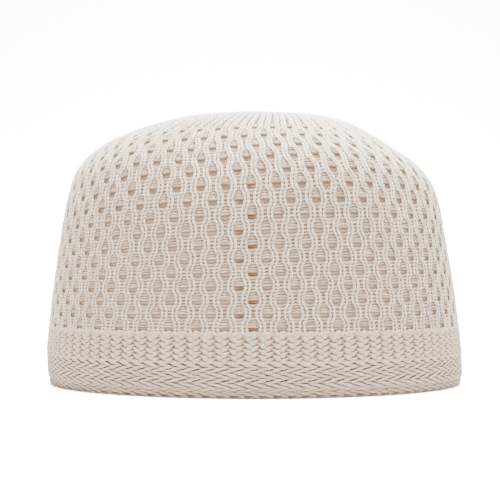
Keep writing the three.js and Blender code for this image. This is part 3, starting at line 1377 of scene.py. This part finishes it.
@dataclass
class KnitCrown:
    """The close top: the wales run on, and are drawn together in pairs towards the centre.

    The middles of floats sink to the valley between the wales, and the yarn stays between thinnest and
    thickest times its own size.
    """

    field: KnitField
    finish: YarnFinish
    course_height: float = 2.22 * MM
    narrowest: float = 1.25 * MM
    fewest: int = 6
    last_reach: float = 1.1 * MM
    valley: float = -2.2
    slim: float = 0.70
    thinnest: float = 0.5
    thickest: float = 1.1

    def levels(self) -> Array:
        """Spaces the courses evenly from the top of the wall to near the centre.

        Returns:
            Their ways along the cloth.
        """
        start = self.field.pattern.along(np.array(self.field.pattern.all_courses))
        end = self.field.form.cloth_length - self.last_reach
        count = int(round((end - start) / self.course_height))
        return np.linspace(start, end, count)

    def build(self) -> list[bpy.types.Object]:
        """Lays the courses of the crown, in sets that have half as many wales as the set outside them.

        The wales are halved each time that they would stand closer than the narrowest pitch.

        Returns:
            The crown as one piece.
        """
        levels = self.levels()
        crowding = self.field.pattern.all_wales * self.narrowest / self.field.form.around(levels)
        halvings = np.floor(np.log2(np.maximum(crowding, 1.0))).astype(int)
        parts = [self.ring_set(levels[halvings == h], h) for h in np.unique(halvings)]
        return [dress(YarnMesh.joined(parts), "knit_crown_knit", self.finish, "knit_crown")]

    def ring_set(self, levels: Array, halved: int) -> YarnMesh:
        """Lays the courses at some levels, with the wales halved some times.

        A place lies as in the wall, at its level plus course_height height cos t. The yarn is scaled by
        a power of its stitch's width against that of a snug stitch at the rim.

        Args:
            levels: ways along the cloth.
            halved: how many times the wales have been drawn together.

        Returns:
            One closed yarn for each level.
        """
        form = self.field.form
        pattern = self.field.pattern
        stitch = self.field.stitch
        full = pattern.all_wales
        count = max(full >> halved, self.fewest)
        level, wale, place, t = stitch.places(levels, count)
        along = level + self.course_height * stitch.height * np.cos(t)
        first = pattern.along(np.array(pattern.all_courses))
        course = pattern.all_courses + (along - first) / self.course_height
        fine = wale * (full / count) + (full / count - 1) / 2
        here = pattern.wale_share(np.floor(fine).astype(int), course) + (fine - np.floor(fine)) / full
        if halved == 0:
            gap = np.mod(here - pattern.wale_share(np.mod(wale - 1, full), course), 1.0)
            width = pattern.stitch_width(course)
        else:
            gap = width = np.full(here.shape, 1 / count)
        slim = blend(stitch.slim, self.slim, pattern.fade(course))
        share = np.where(place == 0, here - gap / 2, here + slim * width * stitch.across(t))
        bulk = width * form.around(along) / (pattern.snug / full * form.girth)
        scale = np.clip(bulk**self.field.bulk_power, self.thinnest, self.thickest)
        rise = np.full(share.shape, self.course_height)
        out = np.where(place == 0, self.valley, np.array(stitch.proud)[place])
        return self.field.carried(share, along, out, place, scale, rise)


class SoftLight(NamedTuple):
    """A square soft light: its place, its side in metres, its power in watts and its tint."""

    name: str
    place: Point
    side: float
    power: float
    tint: Colour


SOFT_LIGHTS = (
    SoftLight("key", (-0.6, -1.6, 1.7), 1.4, 21.0, (1.0, 1.0, 1.0)),
    SoftLight("fill", (1.4, -1.4, 0.8), 1.4, 9.5, (1.0, 1.0, 1.0)),
    SoftLight("top", (0.0, 0.2, 2.2), 1.6, 410.0, (0.93, 0.97, 1.0)),
)


def stand(thing: bpy.types.Object, place: Point, aim: Point) -> None:
    """Stands a camera or a light at a place and turns it towards its aim.

    Args:
        thing: the camera or light.
        place: where it stands.
        aim: the point that it faces.
    """
    thing.location = place
    thing.rotation_mode = "QUATERNION"
    thing.rotation_quaternion = (Vector(aim) - Vector(place)).to_track_quat("-Z", "Y")


@dataclass
class Studio:
    """Pale sweep, soft lights and the camera.

    The floor runs from its front to its bend, turns up in a quarter circle and ends in a wall.
    """

    eye: Point = (0.0, -0.480, 0.0454)
    aim: Point = (-0.002, 0.0, 0.0591)
    lens: float = 76.8
    sensor: float = 36.0
    nearest: float = 0.01
    lights: tuple[SoftLight, ...] = SOFT_LIGHTS
    light_aim: Point = (0.0, 0.0, 0.06)
    floor_front: float = -6.0
    floor_bend: float = 1.4
    bend_radius: float = 1.2
    bend_steps: int = 24
    wall_height: float = 6.0
    half_width: float = 8.0
    floor_paint: Colour = (0.60, 0.60, 0.60)
    floor_glow: Colour = (4.2, 4.2, 4.2)
    sky_light: float = 0.30
    sky_glow: float = 12.0

    def camera(self) -> bpy.types.Object:
        """Sets the camera at the photograph's angle, a little above the surface.

        Returns:
            The camera.
        """
        data = bpy.data.cameras.new("camera")
        data.sensor_width = self.sensor
        data.lens = self.lens
        data.clip_start = self.nearest
        camera = add_object("camera", data)
        stand(camera, self.eye, self.aim)
        bpy.context.scene.camera = camera
        return camera

    def shine(self, light: SoftLight) -> bpy.types.Object:
        """Adds a soft light that faces the cap.

        Args:
            light: the light's place and strength.

        Returns:
            The light.
        """
        data = bpy.data.lights.new(light.name, "AREA")
        data.size = light.side
        data.energy = light.power
        data.color = light.tint
        lamp = add_object(light.name, data)
        stand(lamp, light.place, self.light_aim)
        return lamp

    def sweep(self) -> bpy.types.Object:
        """Makes the pale floor that curves up behind the cap.

        Over the bend, with a from 0 to pi / 2, y is bend + radius sin a and z is radius (1 - cos a).

        Returns:
            The floor.
        """
        angle = np.linspace(0.0, np.pi / 2, self.bend_steps)
        back = self.floor_bend + self.bend_radius * np.sin(angle)
        rise = self.bend_radius * (1 - np.cos(angle))
        y = np.concatenate([[self.floor_front], back, [back[-1]]])
        z = np.concatenate([[0.0], rise, [rise[-1] + self.wall_height]])
        x = np.array([-self.half_width, self.half_width])
        points = np.stack(np.broadcast_arrays(x[None, :], y[:, None], z[:, None]), axis=-1).reshape(-1, 3)
        low = 2 * np.arange(len(y) - 1)
        quads = np.stack([low, low + 1, low + 3, low + 2], axis=-1)
        mesh = bpy.data.meshes.new("floor")
        mesh.from_pydata(points.tolist(), [], quads.tolist())
        mesh.polygons.foreach_set("use_smooth", np.ones(len(quads), dtype=bool))
        floor = add_object("floor", mesh)
        material = bpy.data.materials.new("pale_sweep")
        nodes = NodeTree.emptied(material)
        seen = nodes.add("ShaderNodeLightPath").outputs["Is Camera Ray"]
        paint = nodes.mix(seen, (*self.floor_paint, 1.0), (*self.floor_glow, 1.0))
        shader = nodes.add("ShaderNodeBsdfDiffuse", paint)
        nodes.add("ShaderNodeOutputMaterial", shader.outputs[0])
        mesh.materials.append(material)
        return floor

    def sky(self) -> None:
        """Surrounds the scene with even white, soft on the cap and bright behind it."""
        world = bpy.data.worlds.new("studio")
        nodes = NodeTree.emptied(world)
        seen = nodes.add("ShaderNodeLightPath").outputs["Is Camera Ray"]
        strength = nodes.math("MULTIPLY_ADD", seen, self.sky_glow - self.sky_light, self.sky_light)
        shade = nodes.add("ShaderNodeBackground", (1.0, 1.0, 1.0, 1.0), strength)
        nodes.add("ShaderNodeOutputWorld", shade.outputs[0])
        bpy.context.scene.world = world

    def build(self) -> None:
        """Sets up the sweep, the lights, the sky and the camera."""
        self.sweep()
        for light in self.lights:
            self.shine(light)
        self.sky()
        self.camera()


def main() -> None:
    """Builds the studio and the four stitch zones, and reports each piece."""
    logging.basicConfig(level=logging.INFO, format="%(name)s: %(message)s")
    low, high = cad_box
    form = CapForm(*(high - low))
    knit = KnitField(form, EyeletPattern(), JerseyStitch())
    # Hem and band take a darker, warmer copy of the yarn: the darkness is painted shade on the lower cap.
    hem_yarn_with_painted_shade = YarnFinish(
        MaterialSlot.BRAID,
        lit=(0.70, 0.535, 0.395),
        shaded=(0.58, 0.43, 0.305),
        deep=(0.21, 0.12, 0.068),
        start=0.15,
    )
    band_yarn_with_painted_shade = replace(hem_yarn_with_painted_shade, slot=MaterialSlot.RIB, start=0.22)
    # The crown takes a paler, more neutral copy of the yarn: painted light from above on the top of the
    # cap.
    crown_yarn = YarnFinish(MaterialSlot.CROWN, lit=(0.90, 0.83, 0.74), shaded=(0.84, 0.76, 0.66))
    Studio().build()
    zones = [
        BraidedHem(form, hem_yarn_with_painted_shade),
        RibbedBand(form, band_yarn_with_painted_shade),
        EyeletWall(knit, YarnFinish(MaterialSlot.MESH)),
        KnitCrown(knit, crown_yarn),
    ]
    for zone in zones:
        for piece in zone.build():
            triangles = len(piece.data.loops) - 2 * len(piece.data.polygons)
            log.info("%s: %d triangles", piece.name, triangles)


if __name__ == "__main__":
    main()
